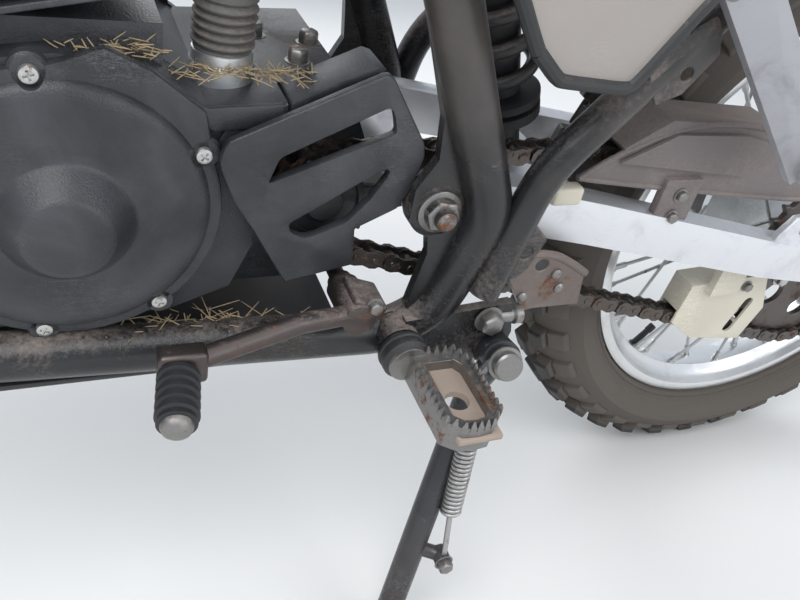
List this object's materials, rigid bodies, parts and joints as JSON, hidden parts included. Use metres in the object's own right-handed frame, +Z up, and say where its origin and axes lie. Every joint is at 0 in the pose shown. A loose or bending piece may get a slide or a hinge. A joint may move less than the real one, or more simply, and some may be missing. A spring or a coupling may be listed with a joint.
{
  "type": "dual sport motorcycle",
  "caption": "Dual sport motorcycle that stands leaning on its side stand, with spoked wheels, knobbly tyres, chain drive, open engine, turning steering and a stand that folds.",
  "frame": {"origin": "on the floor, below the middle of the parked motorcycle's outline", "axes": "-X towards the front wheel, +X towards the rear wheel, -Y to the rider's left, where it leans on its side stand, +Z up"},
  "size_m": [2.0314, 0.8329, 1.2854],
  "materials": {
    "frame_paint": "satin black paint, worn and dusty",
    "engine_paint": "matt black paint over cast metal",
    "worn_steel": "bare steel with rust and mud",
    "chain_steel": "oily steel with rust",
    "dark_metal": "heat-proof black paint",
    "alloy": "bare alloy, scuffed",
    "rim_alloy": "polished alloy, dusty",
    "spoke_steel": "plated wire",
    "spring_steel": "plated spring wire",
    "spring_paint": "painted coil spring",
    "fork_metal": "cast alloy legs",
    "bar_steel": "black paint",
    "body_paint": "warm grey paint, gloss",
    "body_plastic": "warm grey moulded plastic",
    "black_plastic": "moulded, scratched",
    "cream_plastic": "aged nylon",
    "grip_rubber": "soft rubber",
    "tyre": "dusty tyre rubber",
    "seat_cover": "grained black vinyl over foam",
    "red_lens": "moulded lens",
    "amber_lens": "moulded lens",
    "plate_white": "blank plate",
    "mirror_glass": "mirror glass in a black shell"
  },
  "bodies": {
    "chassis": {"frame_backbone": "frame_paint", "frame_down_tube": "frame_paint", "frame_left": "frame_paint", "frame_right": "frame_paint", "subframe": "frame_paint", "crankcase": "engine_paint", "flywheel_cover": "engine_paint", "sprocket_cover": "engine_paint", "clutch_cover": "engine_paint", "cylinder": "engine_paint", "cylinder_head": "engine_paint", "drive_sprocket": "worn_steel", "carburettor": "alloy", "airbox": "black_plastic", "silencer": "dark_metal", "exhaust_pipe": "dark_metal", "skid_plate": "alloy", "swingarm": "alloy", "rear_axle": "worn_steel", "shock_absorber": "spring_paint", "chain": "chain_steel", "chain_guard": "black_plastic", "chain_guide": "cream_plastic", "gear_lever": "worn_steel", "brake_pedal": "worn_steel", "footpeg_left": "worn_steel", "footpeg_right": "worn_steel", "passenger_brackets": "alloy", "fuel_tank": "body_paint", "seat": "seat_cover", "side_panels": "body_plastic", "rear_fender": "body_plastic", "tail_lamp": "red_lens", "rear_indicators": "amber_lens", "number_plate": "plate_white"},
    "steering": {"fork_legs": "fork_metal", "steering_clamps": "alloy", "front_axle": "worn_steel", "handlebar": "bar_steel", "hand_controls": "grip_rubber", "mirrors": "mirror_glass", "headlamp": "body_plastic", "instrument_pod": "black_plastic", "front_fender": "body_plastic", "brake_caliper": "alloy", "front_indicators": "amber_lens"},
    "front_wheel": {"front_tyre": "tyre", "front_rim": "rim_alloy", "front_hub": "alloy", "front_spokes": "spoke_steel"},
    "rear_wheel": {"rear_tyre": "tyre", "rear_rim": "rim_alloy", "rear_hub": "alloy", "rear_spokes": "spoke_steel", "rear_sprocket": "chain_steel"},
    "side_stand_leg": {"side_stand": "worn_steel", "stand_spring": "spring_steel"}
  },
  "joints": [
    {"name": "steering", "type": "hinge", "parent": "chassis", "child": "steering", "pos_m": [-0.33111, 0.06066, 0.83515], "axis": [0.4617, -0.1692, 0.8707], "range_deg": [-42, 42]},
    {"name": "front_wheel_spin", "type": "hinge", "parent": "steering", "child": "front_wheel", "pos_m": [-0.666, 0.15604, 0.34449], "axis": [0, -0.9816, -0.1908], "continuous": true},
    {"name": "rear_wheel_spin", "type": "hinge", "parent": "chassis", "child": "rear_wheel", "pos_m": [0.674, 0.16169, 0.31541], "axis": [0, -0.9816, -0.1908], "continuous": true},
    {"name": "side_stand_fold", "type": "hinge", "parent": "chassis", "child": "side_stand_leg", "pos_m": [0.263, 0.03907, 0.25968], "axis": [-0.1473, -0.9778, 0.1491], "range_deg": [0, 111], "deforming": ["stand_spring"]}
  ]
}
